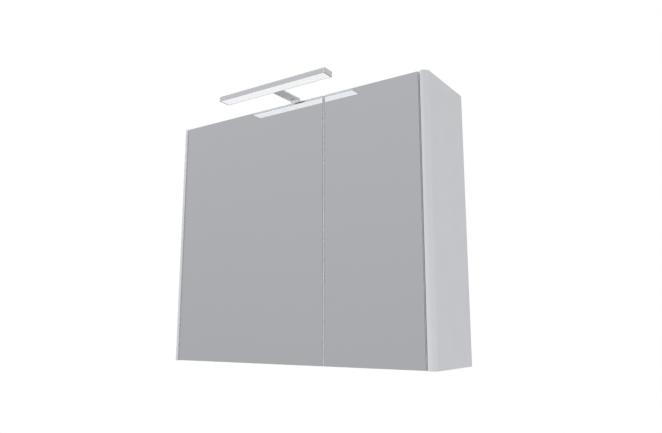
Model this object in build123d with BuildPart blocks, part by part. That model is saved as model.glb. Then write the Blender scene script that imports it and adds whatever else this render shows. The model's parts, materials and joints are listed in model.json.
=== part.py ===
"""Wall-hung mirror cabinet with two doors of unequal width and a light bar, in millimetres.

X runs to the right, Y runs back to the wall and Z runs up. The origin lies on the wall plane,
midway between the two fixing holes of the wall rail.
"""
import os
from math import atan2, degrees, hypot, sqrt

from build123d import *

# Cabinet
WIDTH = 700.0
HEIGHT = 590.0
DEPTH = 180.0
BOARD = 16.0
FRONT_RADIUS = 14.0
EDGE_SOFTENING = 1.0
RAIL_DROP = 48.0
GRIP_RISE = 16.0

# Back panel and its groove
BACK_THICKNESS = 3.0
BACK_INSET = 17.0
GROOVE_DEPTH = 5.0
GROOVE_PLAY = 0.2

# Dowels that join the boards
DOWEL_DIAMETER = 8.0
DOWEL_IN_SIDE = 11.0
DOWEL_IN_END = 19.0
DOWEL_PLAY = 0.1
DOWEL_END_GAP = 0.5
DOWEL_EDGE_DISTANCE = 40.0

# Doors
DOOR_BOARD = 16.0
GLASS = 4.0
GLASS_SETBACK = 0.5
GLASS_MEETING_SETBACK = 2.2
GLASS_ARRIS = 0.4
DOOR_SIDE_GAP = 3.5
DOOR_END_GAP = 0.5
DOOR_MEETING_GAP = 1.6
DOOR_BACK_GAP = 3.0
MEETING_OFFSET = 99.0
DOOR_EDGE_RADIUS = 0.6

# Bumpers between the doors and the boards behind them
BUMPER_DIAMETER = 8.0
BUMPER_CLEARANCE = 0.3
BUMPER_OFFSET = 36.0
BUMPER_TAPER = 15.0

# Glass shelves on pins
SHELF_THICKNESS = 5.0
SHELF_SIDE_PLAY = 1.0
SHELF_BACK_PLAY = 1.0
SHELF_FRONT_SETBACK = 28.0
SHELF_ARRIS = 0.8
SHELVES_PER_BAY = 2
PIN_DIAMETER = 5.0
PIN_PLAY = 0.1
PIN_HOLE_DEPTH = 7.5
PIN_SHANK = 7.0
PIN_REACH = 7.0
PIN_FLANGE_RADIUS = 4.0
PIN_FLANGE = 1.0
PIN_SEAT_RADIUS = 3.5
PIN_SEAT_HEIGHT = 2.0
PIN_ROW_PITCH = 32.0
PIN_ROW_COUNT = 3
PIN_FROM_SHELF_END = 22.0

# Light bar
LIGHT_LENGTH = 300.0
LIGHT_DEPTH = 30.0
LIGHT_HEIGHT = 12.0
LIGHT_WALL = 1.5
LIGHT_RADIUS = 2.5
LIGHT_CAP = 3.0
LIGHT_STANDOFF = 42.0
LIGHT_RISE = 15.0
CAP_PLUG = 4.0
CAP_PLUG_PLAY = 0.2
DIFFUSER_THICKNESS = 2.0
DIFFUSER_LEG = 3.0
DIFFUSER_LEG_THICKNESS = 1.0
DIFFUSER_PLAY = 0.1
LED_BOARD_WIDTH = 12.0
LED_BOARD_THICKNESS = 1.2
LED_BOARD_END_GAP = 4.0
LED_COUNT = 18
LED_SIZE = 3.0
LED_HEIGHT = 0.8

# Bent bracket that carries the light bar
BRACKET_WIDTH = 27.0
BRACKET_THICKNESS = 3.0
BRACKET_RISE = 16.0
BRACKET_BEND = 1.5
BRACKET_SETBACK = 25.0
BRACKET_FOOT = 42.0
BRACKET_SCREW_PITCH = 20.0

# Driver case on top of the cabinet
DRIVER_LENGTH = 120.0
DRIVER_WIDTH = 40.0
DRIVER_HEIGHT = 22.0
DRIVER_RADIUS = 3.0
DRIVER_GAP = 18.0
DRIVER_EAR = 12.0
DRIVER_EAR_THICKNESS = 3.0
DRIVER_GLAND = 9.0
DRIVER_GLAND_LENGTH = 5.0
DRIVER_GLAND_TAPER = 12.0

# Concealed hinges. Places are (distance from the door's hinge edge, distance behind the door's back)
HINGE_FROM_DOOR_END = 90.0
LONG_LINK_ARM_PIN = (30.1, 17.5)
LONG_LINK_CUP_PIN = (9.7, -6.5)
LONG_LINK_KNEES = [(28.5, 0.5), (20.5, -8.0), (15.0, -8.4)]
SHORT_LINK_ARM_PIN = (43.2, 3.5)
SHORT_LINK_CUP_PIN = (14.8, -5.9)
SHORT_LINK_KNEES = [(36.0, 4.6), (25.5, -5.2)]
LINK_WIDTH = 3.6
LINK_THICKNESS = 4.0
LINK_MIDDLE_GAP = 1.2
LINK_HUB = 2.3
LINK_EYE = 4.0
LINK_EYE_PLAY = 1.65
HINGE_PIN_DIAMETER = 2.4
HINGE_PIN_PLAY = 0.05
CHEEK_THICKNESS = 2.0
CHEEK_PLAY = 0.3
CHEEK_HUB = 2.4
CHEEK_ROOT = (5.0, 32.0)
CHEEK_ROOT_RADIUS = 5.0
ARM_FRONT = 25.0
ARM_REAR = 66.0
ARM_HEIGHT = 9.0
ARM_WEB = 2.0
PLATE_THICKNESS = 3.0
PLATE_FRONT = 28.0
PLATE_REAR = 70.0
PLATE_WIDTH = 18.0
PLATE_WING_MARGIN = 8.0
PLATE_WING_DEPTH = 12.0
PLATE_SCREW_PITCH = 32.0
PLATE_SCREW_BEHIND = 37.0
CUP_BORE = 35.0
CUP_BORE_DEPTH = 13.0
CUP_EDGE_DISTANCE = 3.2
CUP_PLAY = 0.1
CUP_WALL = 0.6
CUP_FLANGE = 0.8
CUP_FLANGE_RIM = 1.0
CUP_EAR = 5.0
CUP_SCREW_PITCH = 45.0
CUP_SCREW_OFFSET = 9.5

# Small screws
SCREW_DIAMETER = 4.0
SCREW_HEAD = 7.0
SCREW_HEAD_HEIGHT = 2.2
SCREW_PLAY = 0.2
SCREW_GRIP = 11.0
SCREW_DRIVE = 2.2
SCREW_DRIVE_DEPTH = 1.2
LIGHT_SCREW_DIAMETER = 3.0
LIGHT_SCREW_HEAD = 5.0
LIGHT_SCREW_GRIP = 5.0
LIGHT_SCREW_PITCH = 15.0

# Wall rail and the hooks that hang on it
RAIL_END_GAP = 24.0
RAIL_THICKNESS = 2.0
RAIL_BELOW = 14.0
RAIL_ABOVE = 8.0
RAIL_LIP_OFFSET = 4.5
RAIL_LIP_HEIGHT = 14.0
RAIL_HOLE_DIAMETER = 6.5
RAIL_HOLE_INSET = 60.0
HOOK_THICKNESS = 2.0
HOOK_WIDTH = 36.0
HOOK_PLAY = 0.3
HOOK_DROP = 10.0
HOOK_PLATE_BELOW = 30.0
HOOK_PLATE_ABOVE = 26.0
HOOK_SCREW_PITCH = 36.0
HOOK_SCREW_OFFSET = 4.0

# Planes and faces that follow from the sizes above
TOP = RAIL_DROP
BOTTOM = TOP - HEIGHT
FRONT = -DEPTH
OUTER_X = WIDTH / 2
INNER_X = OUTER_X - BOARD
RAIL_LENGTH = 2 * (INNER_X - RAIL_END_GAP)
RAIL_HOLE_SPACING = RAIL_LENGTH - 2 * RAIL_HOLE_INSET
DOOR_BACK = FRONT + GLASS + DOOR_BOARD
CARCASS_FRONT = DOOR_BACK + DOOR_BACK_GAP
BACK_REAR = -BACK_INSET
BACK_FRONT = BACK_REAR - BACK_THICKNESS
FLOOR_UNDER = BOTTOM + GRIP_RISE
FLOOR_TOP = FLOOR_UNDER + BOARD
CEILING = TOP - BOARD
DIVIDER_LEFT = MEETING_OFFSET - BOARD / 2
DIVIDER_RIGHT = MEETING_OFFSET + BOARD / 2
DOOR_OUTER_X = INNER_X - DOOR_SIDE_GAP
DOOR_LOW = BOTTOM + DOOR_END_GAP
DOOR_HIGH = TOP - DOOR_END_GAP

os.makedirs("parts", exist_ok=True)


def keep(piece, label):
    """Label a finished piece and write it to its own file."""
    piece.part.label = label
    export_step(piece.part, f"parts/{label}.step")


def plane_facing_x(x):
    """Sketch plane square to X: its first axis is Y and its second axis is Z."""
    return Plane(origin=(x, 0, 0), x_dir=(0, 1, 0), z_dir=(1, 0, 0))


def plane_facing_y(y):
    """Sketch plane square to Y, facing forwards: its first axis is X and its second axis is Z."""
    return Plane(origin=(0, y, 0), x_dir=(1, 0, 0), z_dir=(0, -1, 0))


def rectangle_between(low, high, mode=Mode.ADD):
    """Draw a rectangle between two corners in the current sketch."""
    with Locations(((low[0] + high[0]) / 2, (low[1] + high[1]) / 2)):
        Rectangle(high[0] - low[0], high[1] - low[1], mode=mode)


# Heights of the shelves' undersides, spread evenly between floor and ceiling
bay_height = CEILING - FLOOR_TOP
shelf_heights = [
    FLOOR_TOP + bay_height * (i + 1) / (SHELVES_PER_BAY + 1) for i in range(SHELVES_PER_BAY)
]
SHELF_FRONT = CARCASS_FRONT + SHELF_FRONT_SETBACK
SHELF_REAR = BACK_FRONT - SHELF_BACK_PLAY
pin_depths = [SHELF_FRONT + PIN_FROM_SHELF_END, SHELF_REAR - PIN_FROM_SHELF_END]
pin_holes = [
    (y, z - PIN_SEAT_HEIGHT + (row - (PIN_ROW_COUNT - 1) / 2) * PIN_ROW_PITCH)
    for y in pin_depths
    for z in shelf_heights
    for row in range(PIN_ROW_COUNT)
]

# Places of the dowels, as depth along Y and height along Z
dowel_depths = [CARCASS_FRONT + DOWEL_EDGE_DISTANCE, BACK_FRONT - DOWEL_EDGE_DISTANCE]
dowel_levels = [TOP - BOARD / 2, FLOOR_UNDER + BOARD / 2]

# Heights of the two hinges of each door
hinge_heights = [DOOR_HIGH - HINGE_FROM_DOOR_END, DOOR_LOW + HINGE_FROM_DOOR_END]

# Screws that go into the boards: hinge plates and hooks in the sides, bracket and driver in the top
PLATE_SCREW_Y = DOOR_BACK + PLATE_SCREW_BEHIND
plate_screw_places = [(PLATE_SCREW_Y, z + s * PLATE_SCREW_PITCH / 2) for z in hinge_heights for s in (-1, 1)]
LIP_REAR = -RAIL_LIP_OFFSET
LIP_FRONT = LIP_REAR - RAIL_THICKNESS
LIP_TOP = RAIL_ABOVE + RAIL_LIP_HEIGHT
HOOK_FRONT = LIP_FRONT - HOOK_PLAY - HOOK_THICKNESS
HOOK_SCREW_Y = HOOK_FRONT - HOOK_SCREW_OFFSET
hook_screw_places = [(HOOK_SCREW_Y, s * HOOK_SCREW_PITCH / 2) for s in (-1, 1)]
RISER_FRONT = FRONT + BRACKET_SETBACK
RISER_REAR = RISER_FRONT + BRACKET_THICKNESS
FOOT_REAR = RISER_FRONT + BRACKET_FOOT
FOOT_MIDDLE = (RISER_REAR + BRACKET_BEND + FOOT_REAR) / 2
foot_screw_places = [(0, FOOT_MIDDLE + s * BRACKET_SCREW_PITCH / 2) for s in (-1, 1)]
DRIVER_MIDDLE = FOOT_REAR + DRIVER_GAP + DRIVER_WIDTH / 2
DRIVER_EAR_X = DRIVER_LENGTH / 2 + DRIVER_EAR / 2
driver_screw_places = [(s * DRIVER_EAR_X, DRIVER_MIDDLE) for s in (-1, 1)]

# Side panels, with a rounded front outer edge, pin holes and a groove for the back
with BuildPart() as side_panel_left:
    with BuildSketch(Plane.XY.offset(BOTTOM)):
        rectangle_between((-OUTER_X, FRONT), (-INNER_X, 0))
    extrude(amount=HEIGHT)
    upright = side_panel_left.edges().filter_by(Axis.Z)
    outer_front = upright.group_by(Axis.Y)[0].sort_by(Axis.X)[0]
    inner_front = upright.group_by(Axis.Y)[0].sort_by(Axis.X)[-1]
    fillet(outer_front, FRONT_RADIUS)
    fillet(inner_front, EDGE_SOFTENING)
    with BuildSketch(Plane.XY.offset(BOTTOM)):
        rectangle_between(
            (-INNER_X - GROOVE_DEPTH, BACK_FRONT - GROOVE_PLAY / 2),
            (-INNER_X, BACK_REAR + GROOVE_PLAY / 2),
        )
    extrude(amount=HEIGHT, mode=Mode.SUBTRACT)
    with BuildSketch(plane_facing_x(-INNER_X)):
        with Locations(*pin_holes):
            Circle(PIN_DIAMETER / 2)
    extrude(amount=-PIN_HOLE_DEPTH, mode=Mode.SUBTRACT)
    with BuildSketch(plane_facing_x(-INNER_X)):
        with Locations(*[(y, z) for y in dowel_depths for z in dowel_levels]):
            Circle(DOWEL_DIAMETER / 2)
    extrude(amount=-DOWEL_IN_SIDE, mode=Mode.SUBTRACT)
    with BuildSketch(plane_facing_x(-INNER_X)):
        with Locations(*plate_screw_places, *hook_screw_places):
            Circle(SCREW_DIAMETER / 2)
    extrude(amount=-SCREW_GRIP, mode=Mode.SUBTRACT)
keep(side_panel_left, "side_panel_left")

with BuildPart() as side_panel_right:
    mirror(side_panel_left.part, about=Plane.YZ)
keep(side_panel_right, "side_panel_right")


def level_panel(underside, groove_low, divider_face):
    """Top or bottom board between the sides, with its groove and the holes for its dowels."""
    with BuildPart() as panel:
        with BuildSketch(Plane.XY.offset(underside)):
            rectangle_between((-INNER_X, CARCASS_FRONT), (INNER_X, 0))
        extrude(amount=BOARD)
        with BuildSketch(Plane.XY.offset(groove_low)):
            rectangle_between(
                (-INNER_X, BACK_FRONT - GROOVE_PLAY / 2), (INNER_X, BACK_REAR + GROOVE_PLAY / 2)
            )
        extrude(amount=GROOVE_DEPTH, mode=Mode.SUBTRACT)
        for end, depth in ((-INNER_X, DOWEL_IN_END), (INNER_X, -DOWEL_IN_END)):
            with BuildSketch(plane_facing_x(end)):
                with Locations(*[(y, underside + BOARD / 2) for y in dowel_depths]):
                    Circle(DOWEL_DIAMETER / 2)
            extrude(amount=depth, mode=Mode.SUBTRACT)
        with BuildSketch(Plane.XY.offset(divider_face)):
            with Locations(*[(MEETING_OFFSET, y) for y in dowel_depths]):
                Circle(DOWEL_DIAMETER / 2)
        into_board = DOWEL_IN_SIDE if divider_face == underside else -DOWEL_IN_SIDE
        extrude(amount=into_board, mode=Mode.SUBTRACT)
    return panel


with BuildPart() as top_panel:
    add(level_panel(CEILING, CEILING, CEILING).part)
    with BuildSketch(Plane.XY.offset(TOP)):
        with Locations(*foot_screw_places, *driver_screw_places):
            Circle(SCREW_DIAMETER / 2)
    extrude(amount=-SCREW_GRIP, mode=Mode.SUBTRACT)
keep(top_panel, "top_panel")
keep(level_panel(FLOOR_UNDER, FLOOR_TOP - GROOVE_DEPTH, FLOOR_TOP), "bottom_panel")

# Divider behind the meeting of the doors, drilled through for pins on both sides
with BuildPart() as divider_panel:
    with BuildSketch(Plane.XY.offset(FLOOR_TOP)):
        rectangle_between((DIVIDER_LEFT, CARCASS_FRONT), (DIVIDER_RIGHT, BACK_FRONT))
    extrude(amount=bay_height)
    with BuildSketch(plane_facing_x(DIVIDER_LEFT)):
        with Locations(*pin_holes):
            Circle(PIN_DIAMETER / 2)
    extrude(amount=BOARD, mode=Mode.SUBTRACT)
    for end, depth in ((FLOOR_TOP, DOWEL_IN_END), (CEILING, -DOWEL_IN_END)):
        with BuildSketch(Plane.XY.offset(end)):
            with Locations(*[(MEETING_OFFSET, y) for y in dowel_depths]):
                Circle(DOWEL_DIAMETER / 2)
        extrude(amount=depth, mode=Mode.SUBTRACT)
keep(divider_panel, "divider_panel")

# Thin back, held in the grooves
BACK_EDGE = GROOVE_DEPTH - GROOVE_PLAY
with BuildPart() as back_panel:
    with BuildSketch(plane_facing_y(BACK_REAR)):
        rectangle_between(
            (-INNER_X - BACK_EDGE, FLOOR_TOP - BACK_EDGE), (INNER_X + BACK_EDGE, CEILING + BACK_EDGE)
        )
    extrude(amount=BACK_THICKNESS)
keep(back_panel, "back_panel")

# Dowels in the joints of the boards
dowel_radius = (DOWEL_DIAMETER - DOWEL_PLAY) / 2
dowel_length = DOWEL_IN_SIDE + DOWEL_IN_END - 2 * DOWEL_END_GAP
with BuildPart() as carcass_dowels:
    for start in (-INNER_X - DOWEL_IN_SIDE, INNER_X - DOWEL_IN_END):
        with BuildSketch(plane_facing_x(start + DOWEL_END_GAP)):
            with Locations(*[(y, z) for y in dowel_depths for z in dowel_levels]):
                Circle(dowel_radius)
        extrude(amount=dowel_length)
    for start in (FLOOR_TOP - DOWEL_IN_SIDE, CEILING - DOWEL_IN_END):
        with BuildSketch(Plane.XY.offset(start + DOWEL_END_GAP)):
            with Locations(*[(MEETING_OFFSET, y) for y in dowel_depths]):
                Circle(dowel_radius)
        extrude(amount=dowel_length)
keep(carcass_dowels, "carcass_dowels")

# Glass shelves in both bays
bays = {"left": (-INNER_X, DIVIDER_LEFT), "right": (DIVIDER_RIGHT, INNER_X)}
shelf_names = ["lower", "upper"]
for side, (bay_low, bay_high) in bays.items():
    for level, z in zip(shelf_names, shelf_heights):
        with BuildPart() as shelf:
            with BuildSketch(Plane.XY.offset(z)):
                rectangle_between(
                    (bay_low + SHELF_SIDE_PLAY, SHELF_FRONT), (bay_high - SHELF_SIDE_PLAY, SHELF_REAR)
                )
            extrude(amount=SHELF_THICKNESS)
            front_edges = shelf.edges().filter_by(Axis.X).group_by(Axis.Y)[0]
            fillet(front_edges, SHELF_ARRIS)
        keep(shelf, f"{side}_{level}_shelf")


# Shelf pins: a shank in the wall, a flange on it and a flat-topped seat under the glass
pin_centres = [(y, z - PIN_SEAT_HEIGHT) for y in pin_depths for z in shelf_heights]
bay_walls = [(x, 1 if i == 0 else -1) for bay in bays.values() for i, x in enumerate(bay)]
with BuildPart() as shelf_pins:
    for wall_x, inward in bay_walls:
        with BuildSketch(plane_facing_x(wall_x)):
            with Locations(*pin_centres):
                Circle((PIN_DIAMETER - PIN_PLAY) / 2)
        extrude(amount=-inward * PIN_SHANK)
        for reach, radius in ((PIN_FLANGE, PIN_FLANGE_RADIUS), (PIN_REACH, PIN_SEAT_RADIUS)):
            with BuildSketch(plane_facing_x(wall_x)):
                with Locations(*pin_centres):
                    Circle(radius)
                with Locations(*[(y, z + PIN_SEAT_HEIGHT + radius) for y, z in pin_centres]):
                    Rectangle(2 * radius, 2 * radius, mode=Mode.SUBTRACT)
            extrude(amount=inward * reach)
keep(shelf_pins, "shelf_pins")

# Bumpers on the front edges of the top and bottom boards, near the meeting of the doors
with BuildPart() as door_bumpers:
    with BuildSketch(plane_facing_y(CARCASS_FRONT)):
        with Locations(*[(MEETING_OFFSET + s * BUMPER_OFFSET, z) for s in (-1, 1) for z in dowel_levels]):
            Circle(BUMPER_DIAMETER / 2)
    extrude(amount=DOOR_BACK_GAP - BUMPER_CLEARANCE, taper=BUMPER_TAPER)
keep(door_bumpers, "door_bumpers")


def make_screw(diameter, head, grip):
    """Screw whose head stands on Z = 0 and whose shank reaches down by the grip length."""
    with BuildPart() as screw:
        with BuildSketch():
            Circle(head / 2)
        extrude(amount=SCREW_HEAD_HEIGHT)
        chamfer(screw.edges().group_by(Axis.Z)[-1], SCREW_HEAD_HEIGHT / 2)
        with BuildSketch():
            Circle((diameter - SCREW_PLAY) / 2)
        extrude(amount=-grip)
        with BuildSketch(Plane.XY.offset(SCREW_HEAD_HEIGHT)):
            RegularPolygon(SCREW_DRIVE / 2, 6)
        extrude(amount=-SCREW_DRIVE_DEPTH, mode=Mode.SUBTRACT)
    return screw.part


board_screw = make_screw(SCREW_DIAMETER, SCREW_HEAD, SCREW_GRIP)
light_screw = make_screw(LIGHT_SCREW_DIAMETER, LIGHT_SCREW_HEAD, LIGHT_SCREW_GRIP)

# Light bar: a channel open below, with end caps, LED strip and a diffuser
LIGHT_FRONT = FRONT - LIGHT_STANDOFF - LIGHT_DEPTH
LIGHT_REAR = FRONT - LIGHT_STANDOFF
LIGHT_UNDER = TOP + LIGHT_RISE
LIGHT_TOP = LIGHT_UNDER + LIGHT_HEIGHT
LIGHT_BODY = LIGHT_LENGTH - 2 * LIGHT_CAP
LIGHT_INNER_FRONT = LIGHT_FRONT + LIGHT_WALL
LIGHT_INNER_REAR = LIGHT_REAR - LIGHT_WALL
LIGHT_CEILING = LIGHT_TOP - LIGHT_WALL
TAB_LOW = TOP + BRACKET_RISE + BRACKET_THICKNESS + BRACKET_BEND
TAB_MIDDLE = (TAB_LOW + LIGHT_TOP) / 2
light_screw_places = [(s * LIGHT_SCREW_PITCH / 2, TAB_MIDDLE) for s in (-1, 1)]
with BuildPart() as light_housing:
    with BuildSketch(plane_facing_x(-LIGHT_BODY / 2)) as channel:
        rectangle_between((LIGHT_FRONT, LIGHT_UNDER), (LIGHT_REAR, LIGHT_TOP))
        fillet(channel.vertices().group_by(Axis.Y)[-1], LIGHT_RADIUS)
        rectangle_between(
            (LIGHT_INNER_FRONT, LIGHT_UNDER), (LIGHT_INNER_REAR, LIGHT_CEILING), mode=Mode.SUBTRACT
        )
    extrude(amount=LIGHT_BODY)
    with BuildSketch(plane_facing_y(LIGHT_REAR)):
        with Locations(*light_screw_places):
            Circle(LIGHT_SCREW_DIAMETER / 2)
    extrude(amount=LIGHT_WALL, mode=Mode.SUBTRACT)
keep(light_housing, "light_housing")

# End caps with a plug that fits inside the channel, above the diffuser
PLUG_LOW = LIGHT_UNDER + DIFFUSER_THICKNESS + DIFFUSER_LEG + CAP_PLUG_PLAY
for side, sign in (("left", -1), ("right", 1)):
    with BuildPart() as light_cap:
        with BuildSketch(plane_facing_x(sign * LIGHT_BODY / 2)) as cap_outline:
            rectangle_between((LIGHT_FRONT, LIGHT_UNDER), (LIGHT_REAR, LIGHT_TOP))
            fillet(cap_outline.vertices().group_by(Axis.Y)[-1], LIGHT_RADIUS)
        extrude(amount=sign * LIGHT_CAP)
        with BuildSketch(plane_facing_x(sign * LIGHT_BODY / 2)):
            rectangle_between(
                (LIGHT_INNER_FRONT + CAP_PLUG_PLAY, PLUG_LOW),
                (LIGHT_INNER_REAR - CAP_PLUG_PLAY, LIGHT_CEILING - CAP_PLUG_PLAY),
            )
        extrude(amount=-sign * CAP_PLUG)
    keep(light_cap, f"light_cap_{side}")

# LED strip under the ceiling of the channel
LED_BOARD_LENGTH = LIGHT_BODY - 2 * (CAP_PLUG + LED_BOARD_END_GAP)
LIGHT_MIDDLE = (LIGHT_FRONT + LIGHT_REAR) / 2
LED_BOARD_UNDER = LIGHT_CEILING - LED_BOARD_THICKNESS
with BuildPart() as led_board:
    with BuildSketch(Plane.XY.offset(LED_BOARD_UNDER)):
        with Locations((0, LIGHT_MIDDLE)):
            Rectangle(LED_BOARD_LENGTH, LED_BOARD_WIDTH)
    extrude(amount=LED_BOARD_THICKNESS)
keep(led_board, "led_board")

with BuildPart() as led_chips:
    with BuildSketch(Plane.XY.offset(LED_BOARD_UNDER)):
        with Locations((0, LIGHT_MIDDLE)):
            with GridLocations(LED_BOARD_LENGTH / LED_COUNT, 0, LED_COUNT, 1):
                Rectangle(LED_SIZE, LED_SIZE)
    extrude(amount=-LED_HEIGHT)
keep(led_chips, "led_chips")

# Opal diffuser: a tray with two legs that clip inside the channel
with BuildPart() as light_diffuser:
    with BuildSketch(plane_facing_x(-LIGHT_BODY / 2)):
        tray_low = (LIGHT_INNER_FRONT + DIFFUSER_PLAY, LIGHT_UNDER)
        tray_high = (LIGHT_INNER_REAR - DIFFUSER_PLAY, LIGHT_UNDER + DIFFUSER_THICKNESS + DIFFUSER_LEG)
        rectangle_between(tray_low, tray_high)
        rectangle_between(
            (tray_low[0] + DIFFUSER_LEG_THICKNESS, LIGHT_UNDER + DIFFUSER_THICKNESS),
            (tray_high[0] - DIFFUSER_LEG_THICKNESS, tray_high[1]),
            mode=Mode.SUBTRACT,
        )
    extrude(amount=LIGHT_BODY)
keep(light_diffuser, "light_diffuser")

# Bracket bent from flat bar: a tab on the light, an arm over the doors, a riser and a foot
ARM_UNDER = TOP + BRACKET_RISE
ARM_TOP = ARM_UNDER + BRACKET_THICKNESS
FOOT_TOP = TOP + BRACKET_THICKNESS
TAB_REAR = LIGHT_REAR + BRACKET_THICKNESS
bend_insides = [(TAB_REAR, ARM_TOP), (RISER_FRONT, ARM_UNDER), (RISER_REAR, FOOT_TOP)]
bend_outsides = [(LIGHT_REAR, ARM_UNDER), (RISER_REAR, ARM_TOP), (RISER_FRONT, TOP)]
with BuildPart() as light_bracket:
    with BuildSketch(plane_facing_x(-BRACKET_WIDTH / 2)) as bent_bar:
        with BuildLine():
            Polyline(
                bend_outsides[0],
                bend_insides[1],
                bend_outsides[2],
                (FOOT_REAR, TOP),
                (FOOT_REAR, FOOT_TOP),
                bend_insides[2],
                bend_outsides[1],
                bend_insides[0],
                (TAB_REAR, LIGHT_TOP),
                (LIGHT_REAR, LIGHT_TOP),
                close=True,
            )
        make_face()
        for place in bend_insides:
            fillet(bent_bar.vertices().sort_by_distance((*place, 0))[0], BRACKET_BEND)
        for place in bend_outsides:
            fillet(bent_bar.vertices().sort_by_distance((*place, 0))[0], BRACKET_BEND + BRACKET_THICKNESS)
    extrude(amount=BRACKET_WIDTH)
    with BuildSketch(plane_facing_y(TAB_REAR)):
        with Locations(*light_screw_places):
            Circle(LIGHT_SCREW_DIAMETER / 2)
    extrude(amount=BRACKET_THICKNESS, mode=Mode.SUBTRACT)
    with BuildSketch(Plane.XY.offset(TOP)):
        with Locations(*foot_screw_places):
            Circle(SCREW_DIAMETER / 2)
    extrude(amount=BRACKET_THICKNESS, mode=Mode.SUBTRACT)
keep(light_bracket, "light_bracket")

with BuildPart() as light_bracket_screws:
    with Locations(*[(x, y, FOOT_TOP) for x, y in foot_screw_places]):
        add(board_screw)
    with Locations(*[Location((x, TAB_REAR, z), (-90, 0, 0)) for x, z in light_screw_places]):
        add(light_screw)
keep(light_bracket_screws, "light_bracket_screws")

# Driver case on top, behind the bracket, with a closed lead gland and an ear at each end
with BuildPart() as driver_case:
    with BuildSketch(Plane.XY.offset(TOP)):
        with Locations((0, DRIVER_MIDDLE)):
            Rectangle(DRIVER_LENGTH, DRIVER_WIDTH)
    extrude(amount=DRIVER_HEIGHT)
    fillet(driver_case.edges().filter_by(Axis.Z), DRIVER_RADIUS)
    fillet(driver_case.edges().group_by(Axis.Z)[-1], DRIVER_RADIUS / 2)
    with BuildSketch(Plane.XY.offset(TOP)):
        with Locations((0, DRIVER_MIDDLE)):
            SlotOverall(DRIVER_LENGTH + 2 * DRIVER_EAR, 2 * DRIVER_EAR)
    extrude(amount=DRIVER_EAR_THICKNESS)
    with BuildSketch(Plane.XY.offset(TOP)):
        with Locations(*driver_screw_places):
            Circle(SCREW_DIAMETER / 2)
    extrude(amount=DRIVER_EAR_THICKNESS, mode=Mode.SUBTRACT)
    for end in (-1, 1):
        with BuildSketch(plane_facing_x(end * DRIVER_LENGTH / 2)):
            with Locations((DRIVER_MIDDLE, TOP + DRIVER_HEIGHT / 2)):
                Circle(DRIVER_GLAND / 2)
        extrude(amount=end * DRIVER_GLAND_LENGTH, taper=DRIVER_GLAND_TAPER)
keep(driver_case, "driver_case")

with BuildPart() as driver_screws:
    with Locations(*[(x, y, TOP + DRIVER_EAR_THICKNESS) for x, y in driver_screw_places]):
        add(board_screw)
keep(driver_screws, "driver_screws")

# Wall rail: flat against the wall below, with a lip that stands off the wall above
with BuildPart() as wall_rail:
    with BuildSketch(plane_facing_x(-RAIL_LENGTH / 2)):
        rectangle_between((-RAIL_THICKNESS, -RAIL_BELOW), (0, RAIL_ABOVE))
        rectangle_between((LIP_FRONT, RAIL_ABOVE - RAIL_THICKNESS), (0, RAIL_ABOVE))
        rectangle_between((LIP_FRONT, RAIL_ABOVE - RAIL_THICKNESS), (LIP_REAR, LIP_TOP))
    extrude(amount=RAIL_LENGTH)
    with BuildSketch(plane_facing_y(0)):
        with GridLocations(RAIL_HOLE_SPACING, 0, 2, 1):
            Circle(RAIL_HOLE_DIAMETER / 2)
    extrude(amount=RAIL_THICKNESS, mode=Mode.SUBTRACT)
keep(wall_rail, "wall_rail")

# Hooks: a plate on the side panel and a folded hook that drops behind the rail's lip
HOOK_REAR = LIP_REAR + HOOK_PLAY + HOOK_THICKNESS
HOOK_TOP = LIP_TOP + HOOK_THICKNESS
HOOK_PLATE_FRONT = BACK_REAR + HOOK_PLAY
with BuildPart() as hook_left:
    with BuildSketch(plane_facing_x(-INNER_X)):
        rectangle_between(
            (HOOK_PLATE_FRONT, -HOOK_PLATE_BELOW), (HOOK_FRONT + HOOK_THICKNESS, HOOK_PLATE_ABOVE)
        )
        with Locations(*hook_screw_places):
            Circle(SCREW_DIAMETER / 2, mode=Mode.SUBTRACT)
    extrude(amount=HOOK_THICKNESS)
    with BuildSketch(plane_facing_x(-INNER_X)):
        rectangle_between((HOOK_FRONT, LIP_TOP - HOOK_DROP), (HOOK_FRONT + HOOK_THICKNESS, HOOK_TOP))
        rectangle_between((HOOK_FRONT, LIP_TOP), (HOOK_REAR, HOOK_TOP))
        rectangle_between((HOOK_REAR - HOOK_THICKNESS, LIP_TOP - HOOK_DROP), (HOOK_REAR, HOOK_TOP))
    extrude(amount=HOOK_WIDTH)
keep(hook_left, "hook_left")

with BuildPart() as hook_right:
    mirror(hook_left.part, about=Plane.YZ)
keep(hook_right, "hook_right")

with BuildPart() as hook_screws:
    for sign in (-1, 1):
        seat = sign * (INNER_X - HOOK_THICKNESS)
        with Locations(*[Location((seat, y, z), (0, -sign * 90, 0)) for y, z in hook_screw_places]):
            add(board_screw)
keep(hook_screws, "hook_screws")

# Places of the hinge parts in the cabinet, for the left door
def hinge_place(place):
    """Turn a place given from the door's hinge edge and back into X and Y on the left door."""
    return (-DOOR_OUTER_X + place[0], DOOR_BACK + place[1])


def bar_between(start, end, width):
    """Draw a round-ended bar between two points in the current sketch."""
    run = (end[0] - start[0], end[1] - start[1])
    with Locations(((start[0] + end[0]) / 2, (start[1] + end[1]) / 2)):
        SlotCenterToCenter(hypot(*run), width, rotation=degrees(atan2(run[1], run[0])))


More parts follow.
